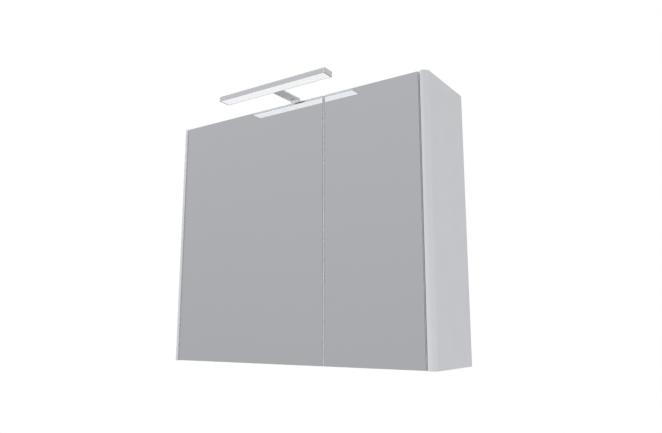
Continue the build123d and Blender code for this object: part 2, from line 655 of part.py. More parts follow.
CUP_RADIUS = CUP_BORE / 2
CUP_CENTRE = CUP_EDGE_DISTANCE + CUP_RADIUS
CUP_SCREW_U = CUP_CENTRE + CUP_SCREW_OFFSET
CUP_INNER_RADIUS = CUP_RADIUS - CUP_PLAY - CUP_WALL
LINK_NEAR = LINK_MIDDLE_GAP / 2
LINK_FAR = LINK_NEAR + LINK_THICKNESS
CHEEK_NEAR = LINK_FAR + CHEEK_PLAY
CHEEK_FAR = CHEEK_NEAR + CHEEK_THICKNESS
PIN_RADIUS = HINGE_PIN_DIAMETER / 2
long_arm_pin = hinge_place(LONG_LINK_ARM_PIN)
long_cup_pin = hinge_place(LONG_LINK_CUP_PIN)
short_arm_pin = hinge_place(SHORT_LINK_ARM_PIN)
short_cup_pin = hinge_place(SHORT_LINK_CUP_PIN)

# Doors: a board with the cup bores, and a mirror glued to its front
door_spans = {
    "left": (-DOOR_OUTER_X, MEETING_OFFSET - DOOR_MEETING_GAP / 2),
    "right": (MEETING_OFFSET + DOOR_MEETING_GAP / 2, DOOR_OUTER_X),
}
glass_insets = {
    "left": (GLASS_SETBACK, GLASS_MEETING_SETBACK),
    "right": (GLASS_MEETING_SETBACK, GLASS_SETBACK),
}
door_signs = {"left": -1, "right": 1}
for side, (door_low_x, door_high_x) in door_spans.items():
    sign = door_signs[side]
    low_inset, high_inset = glass_insets[side]
    cup_x = sign * (DOOR_OUTER_X - CUP_CENTRE)
    screw_x = sign * (DOOR_OUTER_X - CUP_SCREW_U)
    with BuildPart() as door_board:
        with BuildSketch(plane_facing_y(DOOR_BACK)):
            rectangle_between((door_low_x, DOOR_LOW), (door_high_x, DOOR_HIGH))
        extrude(amount=DOOR_BOARD)
        fillet(door_board.faces().sort_by(Axis.Y)[-1].edges(), DOOR_EDGE_RADIUS)
        with BuildSketch(plane_facing_y(DOOR_BACK)):
            with Locations(*[(cup_x, z) for z in hinge_heights]):
                Circle(CUP_RADIUS)
        extrude(amount=CUP_BORE_DEPTH, mode=Mode.SUBTRACT)
        with BuildSketch(plane_facing_y(DOOR_BACK)):
            with Locations(*[(screw_x, z + s * CUP_SCREW_PITCH / 2) for z in hinge_heights for s in (-1, 1)]):
                Circle(SCREW_DIAMETER / 2)
        extrude(amount=SCREW_GRIP, mode=Mode.SUBTRACT)
    keep(door_board, f"{side}_door_board")

    with BuildPart() as door_mirror:
        with BuildSketch(plane_facing_y(FRONT + GLASS)):
            rectangle_between(
                (door_low_x + low_inset, DOOR_LOW + GLASS_SETBACK),
                (door_high_x - high_inset, DOOR_HIGH - GLASS_SETBACK),
            )
        extrude(amount=GLASS)
        chamfer(door_mirror.faces().sort_by(Axis.Y)[0].edges(), GLASS_ARRIS)
    keep(door_mirror, f"{side}_door_mirror")

# One hinge at height zero on the left door: cup, links, arm, plate and pins
with BuildPart() as hinge_cup:
    cup_middle = hinge_place((CUP_CENTRE, 0))
    with BuildSketch(plane_facing_y(DOOR_BACK)):
        with Locations((cup_middle[0], 0)):
            Circle(CUP_RADIUS - CUP_PLAY)
    extrude(amount=CUP_BORE_DEPTH - CUP_PLAY)
    ear_x = hinge_place((CUP_SCREW_U, 0))[0]
    with BuildSketch(plane_facing_y(DOOR_BACK)):
        with Locations((cup_middle[0], 0)):
            Circle(CUP_RADIUS + CUP_FLANGE_RIM)
        with Locations((ear_x, 0)):
            SlotCenterToCenter(CUP_SCREW_PITCH, 2 * CUP_EAR, rotation=90)
    extrude(amount=-CUP_FLANGE)
    with BuildSketch(plane_facing_y(DOOR_BACK + CUP_FLANGE)):
        with Locations((cup_middle[0], 0)):
            Circle(CUP_INNER_RADIUS)
    extrude(amount=CUP_FLANGE + CUP_BORE_DEPTH - CUP_PLAY - CUP_WALL, mode=Mode.SUBTRACT)
    with BuildSketch(plane_facing_y(DOOR_BACK + CUP_FLANGE)):
        with Locations((ear_x, CUP_SCREW_PITCH / 2), (ear_x, -CUP_SCREW_PITCH / 2)):
            Circle(SCREW_DIAMETER / 2)
    extrude(amount=CUP_FLANGE, mode=Mode.SUBTRACT)
    with BuildSketch(Plane.XY):
        with Locations(long_cup_pin):
            Circle(PIN_RADIUS + HINGE_PIN_PLAY)
    extrude(amount=CUP_RADIUS, mode=Mode.SUBTRACT)
    with BuildSketch(Plane.XY):
        with Locations(short_cup_pin):
            Circle(PIN_RADIUS + HINGE_PIN_PLAY)
    extrude(amount=-CUP_RADIUS, mode=Mode.SUBTRACT)


def make_link(route, hub_radii, hole_radii, bottom):
    """Cranked link along a route, with a hub and a pin hole at each end."""
    places = [hinge_place(place) for place in route]
    with BuildPart() as link:
        with BuildSketch(Plane.XY.offset(bottom)):
            for start, end in zip(places, places[1:]):
                bar_between(start, end, LINK_WIDTH)
            for place, radius in zip((places[0], places[-1]), hub_radii):
                with Locations(place):
                    Circle(radius)
            for place, radius in zip((places[0], places[-1]), hole_radii):
                with Locations(place):
                    Circle(radius, mode=Mode.SUBTRACT)
        extrude(amount=LINK_THICKNESS)
    return link


running_hole = PIN_RADIUS + HINGE_PIN_PLAY
long_link = make_link(
    [LONG_LINK_ARM_PIN, *LONG_LINK_KNEES, LONG_LINK_CUP_PIN],
    (LINK_HUB, LINK_HUB),
    (running_hole, running_hole),
    LINK_NEAR,
)
short_link = make_link(
    [SHORT_LINK_ARM_PIN, *SHORT_LINK_KNEES, SHORT_LINK_CUP_PIN],
    (LINK_HUB, LINK_EYE),
    (running_hole, PIN_RADIUS + LINK_EYE_PLAY),
    -LINK_FAR,
)

# Arm: a channel on the plate, with one cheek cranked to each arm pin
arm_low_x = -INNER_X + PLATE_THICKNESS
with BuildPart() as hinge_arm:
    for cheek_bottom, pin in ((CHEEK_NEAR, long_arm_pin), (-CHEEK_FAR, short_arm_pin)):
        root = (arm_low_x + CHEEK_ROOT[0], DOOR_BACK + CHEEK_ROOT[1])
        with BuildSketch(Plane.XY.offset(cheek_bottom)):
            rectangle_between(
                (arm_low_x, DOOR_BACK + ARM_FRONT), (arm_low_x + ARM_HEIGHT, DOOR_BACK + ARM_REAR)
            )
            with BuildLine():
                tangent_run = (pin[0] - root[0], pin[1] - root[1])
                reach = hypot(*tangent_run)
                side_step = (-tangent_run[1] / reach, tangent_run[0] / reach)
                Polyline(
                    (root[0] + side_step[0] * CHEEK_ROOT_RADIUS, root[1] + side_step[1] * CHEEK_ROOT_RADIUS),
                    (pin[0] + side_step[0] * CHEEK_HUB, pin[1] + side_step[1] * CHEEK_HUB),
                    (pin[0] - side_step[0] * CHEEK_HUB, pin[1] - side_step[1] * CHEEK_HUB),
                    (root[0] - side_step[0] * CHEEK_ROOT_RADIUS, root[1] - side_step[1] * CHEEK_ROOT_RADIUS),
                    close=True,
                )
            make_face()
            with Locations(pin):
                Circle(CHEEK_HUB)
            with Locations(pin):
                Circle(running_hole, mode=Mode.SUBTRACT)
        extrude(amount=CHEEK_THICKNESS)
    with BuildSketch(Plane.XY.offset(-CHEEK_FAR)):
        rectangle_between(
            (arm_low_x + ARM_HEIGHT - ARM_WEB, DOOR_BACK + ARM_FRONT),
            (arm_low_x + ARM_HEIGHT, DOOR_BACK + ARM_REAR),
        )
    extrude(amount=2 * CHEEK_FAR)

# Plate on the side panel, with a wing for its screws
with BuildPart() as hinge_plate:
    with BuildSketch(plane_facing_x(-INNER_X)):
        rectangle_between(
            (DOOR_BACK + PLATE_FRONT, -PLATE_WIDTH / 2), (DOOR_BACK + PLATE_REAR, PLATE_WIDTH / 2)
        )
        with Locations((PLATE_SCREW_Y, 0)):
            SlotOverall(PLATE_SCREW_PITCH + 2 * PLATE_WING_MARGIN, PLATE_WING_DEPTH, rotation=90)
        with Locations((PLATE_SCREW_Y, PLATE_SCREW_PITCH / 2), (PLATE_SCREW_Y, -PLATE_SCREW_PITCH / 2)):
            Circle(SCREW_DIAMETER / 2, mode=Mode.SUBTRACT)
    extrude(amount=PLATE_THICKNESS)

# Pins: stubs fixed in the arm's cheeks and in the wall of the cup
with BuildPart() as arm_pins:
    with BuildSketch(Plane.XY.offset(LINK_NEAR)):
        with Locations(long_arm_pin):
            Circle(PIN_RADIUS)
    extrude(amount=CHEEK_FAR - LINK_NEAR)
    with BuildSketch(Plane.XY.offset(-LINK_NEAR)):
        with Locations(short_arm_pin):
            Circle(PIN_RADIUS)
    extrude(amount=-(CHEEK_FAR - LINK_NEAR))


def cup_chord(place):
    """Half the width of the cup beside a pin, to the middle of the cup's wall."""
    pin_side = abs(place[0] - CUP_CENTRE) + PIN_RADIUS
    return sqrt((CUP_INNER_RADIUS + CUP_WALL / 2) ** 2 - pin_side**2)


with BuildPart() as cup_pins:
    with BuildSketch(Plane.XY.offset(LINK_NEAR)):
        with Locations(long_cup_pin):
            Circle(PIN_RADIUS)
    extrude(amount=cup_chord(LONG_LINK_CUP_PIN) - LINK_NEAR)
    with BuildSketch(Plane.XY.offset(-LINK_NEAR)):
        with Locations(short_cup_pin):
            Circle(PIN_RADIUS)
    extrude(amount=-(cup_chord(SHORT_LINK_CUP_PIN) - LINK_NEAR))

with BuildPart() as plate_screw_pair:
    seat = (-INNER_X + PLATE_THICKNESS, PLATE_SCREW_Y)
    with Locations(*[Location((*seat, s * PLATE_SCREW_PITCH / 2), (0, 90, 0)) for s in (-1, 1)]):
        add(board_screw)

with BuildPart() as cup_screw_pair:
    seat = (ear_x, DOOR_BACK + CUP_FLANGE)
    with Locations(*[Location((*seat, s * CUP_SCREW_PITCH / 2), (-90, 0, 0)) for s in (-1, 1)]):
        add(board_screw)


def place_hinge_piece(piece, side, heights):
    """Copy a hinge piece to the given heights, mirrored for the right door."""
    with BuildPart() as placed:
        with Locations(*[(0, 0, z) for z in heights]):
            add(piece.part)
        if side == "right":
            mirror(about=Plane.YZ, mode=Mode.REPLACE)
    return placed


# Each hinge's main pieces are nodes of their own; pins and screws are grouped by door
hinge_pieces = {
    "hinge_plate": hinge_plate,
    "hinge_arm": hinge_arm,
    "long_link": long_link,
    "short_link": short_link,
    "hinge_cup": hinge_cup,
}
hinge_groups = {
    "arm_pins": arm_pins,
    "cup_pins": cup_pins,
    "plate_screws": plate_screw_pair,
    "cup_screws": cup_screw_pair,
}
for side in door_spans:
    for level, height in zip(("upper", "lower"), hinge_heights):
        for name, piece in hinge_pieces.items():
            keep(place_hinge_piece(piece, side, [height]), f"{side}_{level}_{name}")
    for name, piece in hinge_groups.items():
        keep(place_hinge_piece(piece, side, hinge_heights), f"{side}_{name}")
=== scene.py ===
"""Dressed scene of a wall cabinet with two mirror doors and a small light bar above them.

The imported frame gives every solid. This script gives each solid its finish, adds a few small screws
that the frame leaves out, and sets up the studio and the camera. All lengths are in metres, in the
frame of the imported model: X to the right, Y back to the wall and Z up.
"""

from __future__ import annotations

import json
import logging
import math
from abc import ABC, abstractmethod
from dataclasses import dataclass, field
from enum import Enum
from typing import Any, Callable, Optional, Union

import bmesh
import bpy
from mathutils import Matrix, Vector

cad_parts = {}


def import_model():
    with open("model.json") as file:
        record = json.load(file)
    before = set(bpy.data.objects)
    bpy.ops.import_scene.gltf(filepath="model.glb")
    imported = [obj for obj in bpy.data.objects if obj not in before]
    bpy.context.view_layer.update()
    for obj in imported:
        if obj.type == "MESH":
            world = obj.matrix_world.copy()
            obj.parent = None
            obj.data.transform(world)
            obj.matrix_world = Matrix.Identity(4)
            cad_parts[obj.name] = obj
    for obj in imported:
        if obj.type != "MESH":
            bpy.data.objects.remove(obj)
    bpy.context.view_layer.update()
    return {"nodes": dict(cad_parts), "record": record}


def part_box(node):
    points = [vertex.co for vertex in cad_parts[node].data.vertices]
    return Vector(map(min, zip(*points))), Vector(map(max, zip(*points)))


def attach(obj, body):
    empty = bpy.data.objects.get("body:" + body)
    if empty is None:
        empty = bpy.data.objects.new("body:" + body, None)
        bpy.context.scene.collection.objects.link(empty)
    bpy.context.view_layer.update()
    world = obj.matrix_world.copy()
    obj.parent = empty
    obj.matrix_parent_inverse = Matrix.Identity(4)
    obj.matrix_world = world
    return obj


Colour = tuple[float, float, float]
Triple = tuple[float, float, float]

LOG = logging.getLogger("mirror_cabinet")
IMAGE_WIDTH = 662
WHITE: Colour = (1.0, 1.0, 1.0)

# Even light that reaches the cabinet from all around.
AMBIENT: Colour = (0.25, 0.25, 0.25)

# Noise seldom leaves this span, so it is stretched over 0 to 1.
NOISE_SPAN = (0.3, 0.7)

# Part of a spangle's tone that comes from its flakes. Noise gives the rest.
FLAKE_SHARE = 0.7


@dataclass(frozen=True)
class Layer:
    """One layer of noise: its scale against the finish's own, its detail and its share."""

    scale: float
    detail: float
    share: float


class Pattern(Enum):
    """Kinds of surface texture, each with its layers of noise."""

    MOTTLE = (Layer(0.04, 2.0, 0.6), Layer(1.0, 3.0, 0.4))
    BRUSHED = (Layer(1.0, 4.0, 1.0),)
    SPANGLE = (Layer(4.0, 2.0, 0.3),)
    GRAIN = (Layer(0.2, 2.0, 0.4), Layer(1.0, 6.0, 0.6))


class Side(Enum):
    """The two doors and their bays."""

    LEFT = "left"
    RIGHT = "right"


class Level(Enum):
    """The two heights of hinges and shelves."""

    LOWER = "lower"
    UPPER = "upper"


class Facing(Enum):
    """Axis that the main faces of a sheet look along."""

    Y = 1
    Z = 2


class Signal:
    """Output of a shader node, on which Python arithmetic adds Math nodes."""

    def __init__(self, graph: Graph, socket: Optional[bpy.types.NodeSocket]) -> None:
        """Keeps the output socket and the graph that it belongs to."""
        self.graph = graph
        self.socket = socket

    def output(self, name: str) -> Signal:
        """Gives another output of the same node."""
        return Signal(self.graph, self.socket.node.outputs[name])

    def math(self, operation: str, first: Operand, second: Operand) -> Signal:
        """Adds a Math node.

        Args:
            operation: Blender's name of the operation.
            first: First operand, a signal or a number.
            second: Second operand, a signal or a number.

        Returns:
            The result of the operation.
        """
        return self.graph.node("ShaderNodeMath", {"operation": operation}, {0: first, 1: second})

    def __add__(self, other: Operand) -> Signal:
        """Sum."""
        return self.math("ADD", self, other)

    def __radd__(self, other: Operand) -> Signal:
        """Sum with a number on the left."""
        return self.math("ADD", other, self)

    def __sub__(self, other: Operand) -> Signal:
        """Difference."""
        return self.math("SUBTRACT", self, other)

    def __rsub__(self, other: Operand) -> Signal:
        """Difference from a number on the left."""
        return self.math("SUBTRACT", other, self)

    def __mul__(self, other: Operand) -> Signal:
        """Product."""
        return self.math("MULTIPLY", self, other)

    def __rmul__(self, other: Operand) -> Signal:
        """Product with a number on the left."""
        return self.math("MULTIPLY", other, self)

    def __gt__(self, other: Operand) -> Signal:
        """One where the signal is greater, else zero."""
        return self.math("GREATER_THAN", self, other)

    def __abs__(self) -> Signal:
        """Size without sign."""
        return self.math("ABSOLUTE", self, 0.0)

    def at_least(self, other: Operand) -> Signal:
        """The greater of the two."""
        return self.math("MAXIMUM", self, other)

    def between(self, low: float, high: float) -> Signal:
        """Stretches the span from low to high over 0 to 1, held at its ends."""
        sockets = {"Value": self, "From Min": low, "From Max": high}
        return self.graph.node("ShaderNodeMapRange", {"clamp": True}, sockets)


Operand = Union[Signal, float, Colour]
Sockets = dict[Union[str, int], Any]


class Graph:
    """Node tree of one material or of the world."""

    def __init__(self, tree: bpy.types.NodeTree) -> None:
        """Empties the tree."""
        self.tree = tree
        tree.nodes.clear()

    def node(
        self,
        kind: str,
        settings: Optional[dict[str, Any]] = None,
        sockets: Optional[Sockets] = None,
        output: Union[str, int] = 0,
    ) -> Signal:
        """Adds a node.

        Args:
            kind: Blender's type of the node.
            settings: Properties of the node, which are set first.
            sockets: Values or signals of the inputs, by name or number.
            output: The output that is given back.

        Returns:
            The chosen output of the new node.
        """
        node = self.tree.nodes.new(kind)
        for name, value in (settings or {}).items():
            setattr(node, name, value)
        for key, value in (sockets or {}).items():
            socket = node.inputs[key]
            if isinstance(value, Signal):
                self.tree.links.new(value.socket, socket)
            elif socket.type == "RGBA" and len(value) == 3:
                socket.default_value = (*value, 1.0)
            else:
                socket.default_value = value
        if not node.outputs:
            return Signal(self, None)
        return Signal(self, node.outputs[output])

    def mix(self, factor: Operand, first: Operand, second: Operand) -> Signal:
        """Mixes two colours.

        Args:
            factor: Share of the second colour.
            first: Colour at 0.
            second: Colour at 1.

        Returns:
            The mixed colour.
        """
        settings = {"data_type": "RGBA", "clamp_factor": True}
        return self.node("ShaderNodeMix", settings, {0: factor, 6: first, 7: second}, 2)

    def place(self) -> Signal:
        """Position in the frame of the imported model."""
        return self.node("ShaderNodeTexCoord", output="Object")

    def facing(self, axis: Facing) -> Signal:
        """How squarely the surface looks along an axis, from -1 to 1."""
        normal = self.node("ShaderNodeTexCoord", output="Normal")
        return self.node("ShaderNodeSeparateXYZ", None, {0: normal}, axis.value)

    def stretched(self, stretch: Triple) -> Signal:
        """Position with each axis multiplied."""
        return self.node("ShaderNodeMapping", None, {"Vector": self.place(), "Scale": stretch})

    def noise(self, scale: float, stretch: Triple, detail: float) -> Signal:
        """Noise from 0 to 1.

        Args:
            scale: Features per metre.
            stretch: Multipliers of the axes.
            detail: Number of finer layers.

        Returns:
            The noise value.
        """
        sockets = {"Vector": self.stretched(stretch), "Scale": scale, "Detail": detail}
        return self.node("ShaderNodeTexNoise", None, sockets, "Fac")

    def bump(self, height: Signal, depth: float, strength: float) -> Signal:
        """Normal that follows a height signal, with its depth in metres."""
        sockets = {"Height": height, "Distance": depth, "Strength": strength}
        return self.node("ShaderNodeBump", None, sockets)

    def camera_rays(self) -> Signal:
        """One for rays straight from the camera, else zero."""
        return self.node("ShaderNodeLightPath", output="Is Camera Ray")

    def dulled(self) -> Signal:
        """One for rays that a dull surface has scattered before, else zero."""
        return self.node("ShaderNodeLightPath", output="Diffuse Depth") > 0.0

    def seen(self) -> Signal:
        """One for rays that show a background: straight, in metal or through glass, else zero.

        Returns:
            The mask, which is zero for rays that a dull surface has scattered.
        """
        path = self.node("ShaderNodeLightPath")
        shown = path.output("Is Camera Ray").at_least(path.output("Is Glossy Ray"))
        shown = shown.at_least(path.output("Is Transmission Ray"))
        return shown * (1.0 - self.dulled())


def new_material(name: str) -> tuple[bpy.types.Material, Graph]:
    """Makes an empty node material.

    Args:
        name: Name of the material.

    Returns:
        The material and the graph of its nodes.
    """
    material = bpy.data.materials.new(name)
    material.use_nodes = True
    return material, Graph(material.node_tree)


def new_object(name: str, data: bpy.types.ID) -> bpy.types.Object:
    """Makes an object and links it to the scene.

    Args:
        name: Name of the object.
        data: Its mesh, light or camera.

    Returns:
        The new object.
    """
    made = bpy.data.objects.new(name, data)
    bpy.context.scene.collection.objects.link(made)
    return made


@dataclass(frozen=True)
class CutEdge:
    """Look of a sheet's narrow faces, which are bare of any metal that its main faces have."""

    facing: Facing
    colour: Colour
    roughness: float
    flatness: float = 0.9


@dataclass(frozen=True)
class RawRear:
    """Look of a sheet's rear face, where it is left as raw fibres."""

    colour: Colour
    shade: Colour
    scale: float = 900.0
    stretch: Triple = (1.0, 1.0, 0.25)
    detail: float = 5.0
    flatness: float = 0.5


@dataclass(frozen=True)
class Finish:
    """Look of one material slot."""

    slot: str
    colour: Colour
    shade: Colour
    roughness: tuple[float, float]
    scale: float
    pattern: Pattern = Pattern.MOTTLE
    stretch: Triple = (1.0, 1.0, 1.0)
    metallic: float = 0.0
    relief: float = 0.0
    relief_scale: float = 1500.0
    relief_detail: float = 3.0
    relief_strength: float = 0.6
    transmission: float = 0.0
    ior: float = 1.5
    specular: float = 0.5
    glow: float = 0.0
    subsurface: float = 0.0
    subsurface_depth: float = 0.004
    edge: Optional[CutEdge] = None
    rear: Optional[RawRear] = None

    def material(self) -> bpy.types.Material:
        """Builds the node material of this finish.

        Returns:
            The new material.
        """
        material, graph = new_material(f"{self.slot}_finish")
        sockets = self._surface(graph)
        sockets["IOR"] = self.ior
        sockets["Specular IOR Level"] = self.specular
        sockets["Transmission Weight"] = self.transmission
        if self.subsurface:
            sockets["Subsurface Weight"] = self.subsurface
            sockets["Subsurface Radius"] = (self.subsurface_depth,) * 3
        if self.glow:
            sockets["Emission Color"] = sockets["Base Color"]
            sockets["Emission Strength"] = self.glow
            # The small glowing parts are seen but not aimed at, which keeps grain off the rest.
            material.cycles.emission_sampling = "NONE"
        if self.relief:
            height = graph.noise(self.relief_scale, self.stretch, self.relief_detail)
            sockets["Normal"] = graph.bump(height, self.relief, self.relief_strength)
        shader = graph.node("ShaderNodeBsdfPrincipled", None, sockets)
        graph.node("ShaderNodeOutputMaterial", None, {"Surface": shader})
        return material

    def _surface(self, graph: Graph) -> Sockets:
        """Colour, roughness and metal over the surface, with its edge and its rear.

        Args:
            graph: The graph of the finish's material.

        Returns:
            The shader's sockets that these values feed.
        """
        texture = self._texture(graph)
        smooth, rough = self.roughness
        colour: Operand = graph.mix(texture, self.colour, self.shade)
        roughness: Operand = smooth + texture * (rough - smooth)
        metallic: Operand = self.metallic
        if self.rear:
            behind = graph.facing(Facing.Y) > self.rear.flatness
            fibres = graph.noise(self.rear.scale, self.rear.stretch, self.rear.detail)
            colour = graph.mix(behind, colour, graph.mix(fibres, self.rear.colour, self.rear.shade))
        if self.edge:
            cut = 1.0 - (abs(graph.facing(self.edge.facing)) > self.edge.flatness)
            colour = graph.mix(cut, colour, self.edge.colour)
            roughness = roughness * (1.0 - cut) + cut * self.edge.roughness
            if self.metallic:
                metallic = self.metallic * (1.0 - cut)
        return {"Base Color": colour, "Roughness": roughness, "Metallic": metallic}

    def _texture(self, graph: Graph) -> Signal:
        """Share of the second colour over the surface.

        Args:
            graph: The graph of the finish's material.

        Returns:
            The share, mostly from 0 to 1.
        """
        first, *rest = [
            graph.noise(self.scale * layer.scale, self.stretch, layer.detail) * layer.share
            for layer in self.pattern.value
        ]
        noise = sum(rest, first)
        if self.pattern is not Pattern.SPANGLE:
            return noise.between(*NOISE_SPAN)
        sockets = {"Vector": graph.place(), "Scale": self.scale}
        cells = graph.node("ShaderNodeTexVoronoi", None, sockets, "Color")
        flake = graph.node("ShaderNodeSeparateColor", None, {0: cells})
        return flake * FLAKE_SHARE + noise


@dataclass
class FinishSet:
    """All finishes, made once and shared by the sub-assemblies."""

    finishes: tuple[Finish, ...]
    made: dict[str, bpy.types.Material] = field(default_factory=dict)

    def __post_init__(self) -> None:
        """Builds every material."""
        for finish in self.finishes:
            self.made[finish.slot] = finish.material()

    def dress(self, piece: bpy.types.Object, slot: str) -> None:
        """Gives a piece the material of a slot."""
        piece.data.materials.clear()
        piece.data.materials.append(self.made[slot])


FINISHES: tuple[Finish, ...] = (
    Finish(
        slot="board",
        colour=(0.795, 0.803, 0.84),
        shade=(0.775, 0.783, 0.82),
        roughness=(0.34, 0.46),
        scale=700.0,
        relief=0.00004,
        relief_scale=1400.0,
    ),
    Finish(
        slot="mirror",
        colour=(0.925, 0.935, 0.94),
        shade=(0.915, 0.925, 0.93),
        roughness=(0.0, 0.015),
        scale=60.0,
        metallic=1.0,
        specular=0.1,
        edge=CutEdge(Facing.Y, (0.62, 0.65, 0.655), 0.25),
    ),
    Finish(
        slot="shelf_glass",
        colour=(0.94, 0.975, 0.965),
        shade=(0.92, 0.965, 0.95),
        roughness=(0.0, 0.03),
        scale=40.0,
        transmission=1.0,
        edge=CutEdge(Facing.Z, (0.62, 0.86, 0.79), 0.5),
    ),
    Finish(
        slot="back_board",
        colour=(0.79, 0.80, 0.81),
        shade=(0.76, 0.77, 0.78),
        roughness=(0.45, 0.6),
        scale=500.0,
        relief=0.00003,
        rear=RawRear((0.36, 0.23, 0.125), (0.2592, 0.1656, 0.09)),
    ),
    Finish(
        slot="beech",
        colour=(0.62, 0.42, 0.23),
        shade=(0.46, 0.28, 0.13),
        roughness=(0.5, 0.7),
        pattern=Pattern.GRAIN,
        scale=900.0,
        stretch=(0.08, 1.0, 1.0),
        relief=0.0001,
    ),
    Finish(
        slot="bumper",
        colour=(0.72, 0.73, 0.74),
        shade=(0.66, 0.67, 0.68),
        roughness=(0.3, 0.45),
        scale=800.0,
        subsurface=0.4,
    ),
    Finish(
        slot="aluminium",
        colour=(0.73, 0.738, 0.76),
        shade=(0.69, 0.698, 0.72),
        roughness=(0.3, 0.42),
        pattern=Pattern.BRUSHED,
        scale=2600.0,
        stretch=(0.02, 1.0, 1.0),
        metallic=0.3,
        relief=0.00002,
        relief_scale=2600.0,
    ),
    Finish(
        slot="cap",
        colour=(0.77, 0.778, 0.80),
        shade=(0.74, 0.748, 0.77),
        roughness=(0.4, 0.52),
        scale=1200.0,
        specular=0.2,
        relief=0.00003,
        relief_scale=2600.0,
    ),
    Finish(
        slot="opal",
        colour=(0.86, 0.875, 0.885),
        shade=(0.83, 0.845, 0.86),
        roughness=(0.35, 0.45),
        scale=90.0,
        specular=0.0,
        glow=0.62,
    ),
    Finish(
        slot="strip",
        colour=(0.82, 0.84, 0.82),
        shade=(0.74, 0.77, 0.74),
        roughness=(0.4, 0.5),
        scale=900.0,
    ),
    Finish(
        slot="led",
        colour=(0.93, 0.80, 0.36),
        shade=(0.88, 0.72, 0.28),
        roughness=(0.35, 0.5),
        scale=2000.0,
        glow=1.5,
    ),
    Finish(
        slot="bracket",
        colour=(0.83, 0.837, 0.85),
        shade=(0.80, 0.807, 0.82),
        roughness=(0.42, 0.55),
        scale=1500.0,
        specular=0.1,
        relief=0.00002,
        relief_scale=2200.0,
    ),
    Finish(
        slot="driver",
        colour=(0.80, 0.81, 0.82),
        shade=(0.76, 0.77, 0.78),
        roughness=(0.45, 0.6),
        scale=1500.0,
        relief=0.00006,
        relief_scale=1800.0,
    ),
    Finish(
        slot="zinc",
        colour=(0.66, 0.67, 0.685),
        shade=(0.52, 0.535, 0.55),
        roughness=(0.3, 0.5),
        pattern=Pattern.SPANGLE,
        scale=120.0,
        metallic=1.0,
    ),
    Finish(
        slot="nickel",
        colour=(0.68, 0.665, 0.635),
        shade=(0.60, 0.585, 0.555),
        roughness=(0.16, 0.3),
        scale=500.0,
        metallic=1.0,
        relief=0.00002,
    ),
    Finish(
        slot="steel",
        colour=(0.66, 0.665, 0.67),
        shade=(0.56, 0.565, 0.57),
        roughness=(0.22, 0.38),
        pattern=Pattern.BRUSHED,
        scale=2200.0,
        stretch=(1.0, 0.05, 1.0),
        metallic=1.0,
    ),
    Finish(
        slot="pin",
        colour=(0.55, 0.555, 0.57),
        shade=(0.45, 0.455, 0.47),
        roughness=(0.2, 0.35),
        pattern=Pattern.BRUSHED,
        scale=3000.0,
        stretch=(1.0, 1.0, 0.1),
        metallic=1.0,
    ),
    Finish(
        slot="screw",
        colour=(0.60, 0.605, 0.62),
        shade=(0.48, 0.485, 0.50),
        roughness=(0.25, 0.42),
        scale=1500.0,
        metallic=1.0,
    ),
)


@dataclass(frozen=True)
class ScrewHead:
    """Domed screw head with a cross recess, made of rings round its axis."""

    radius: float
    height: float
    recess_reach: float
    recess_half_width: float
    recess_depth: float
    recess_taper: float = 0.8
    dome_radii: tuple[float, ...] = (1.0, 1.0, 0.94, 0.82, 0.66)
    dome_heights: tuple[float, ...] = (0.0, 0.4, 0.66, 0.86, 0.97)
    segments: int = 64
    sharp_angle: float = 32.0

    def make(self, name: str, seat: Vector, axis: Vector) -> bpy.types.Object:
        """Makes the head.

        Args:
            name: Name of the piece.
            seat: Middle of the face that the head sits on.
            axis: Direction that the head looks in.

        Returns:
            The new object.
        """
        shape = bmesh.new()
        turn = axis.to_track_quat("Z", "Y")
        rings = []
        for ring in self._rings():
            rings.append([shape.verts.new(seat + turn @ Vector(point)) for point in ring])
        for lower, upper in zip(rings, rings[1:]):
            for i in range(self.segments):
                j = (i + 1) % self.segments
                shape.faces.new((lower[i], lower[j], upper[j], upper[i]))
        shape.faces.new(list(reversed(rings[0])))
        shape.faces.new(rings[-1])
        bmesh.ops.recalc_face_normals(shape, faces=shape.faces[:])
        mesh = bpy.data.meshes.new(name)
        shape.to_mesh(mesh)
        shape.free()
        mesh.shade_smooth()
        mesh.set_sharp_from_angle(angle=math.radians(self.sharp_angle))
        return new_object(name, mesh)

    def _rings(self) -> list[list[Triple]]:
        """Points of each ring, from the seat over the dome and into the recess.

        Returns:
            The rings, each with its points in order round the axis.
        """
        dome = zip(self.dome_radii, self.dome_heights)
        rings = [self._ring(self._circle, share, rise * self.height) for share, rise in dome]
        rings.append(self._ring(self._cross, 1.0, self.height))
        rings.append(self._ring(self._cross, self.recess_taper, self.height - self.recess_depth))
        return rings

    def _ring(self, outline: Callable[[float], float], share: float, height: float) -> list[Triple]:
        """Points of one ring.

        Args:
            outline: Radius of the outline at an angle.
            share: Multiplier of that radius.
            height: Height of the ring above the seat.

        Returns:
            The points, in order round the axis.
        """
        points = []
        for i in range(self.segments):
            turn = 2.0 * math.pi * i / self.segments
            radius = share * outline(turn)
            points.append((radius * math.cos(turn), radius * math.sin(turn), height))
        return points

    def _circle(self, turn: float) -> float:
        """Radius of the round outline, which is the same at every angle."""
        return self.radius

    def _cross(self, turn: float) -> float:
        """Radius of the cross outline at an angle.

        Args:
            turn: The angle, in radians.

        Returns:
            The distance from the axis to the outline.
        """
        quarter = math.pi / 2.0
        folded = abs((turn + quarter / 2.0) % quarter - quarter / 2.0)
        if math.tan(folded) <= self.recess_half_width / self.recess_reach:
            return self.recess_reach / math.cos(folded)
        return self.recess_half_width / math.sin(folded)


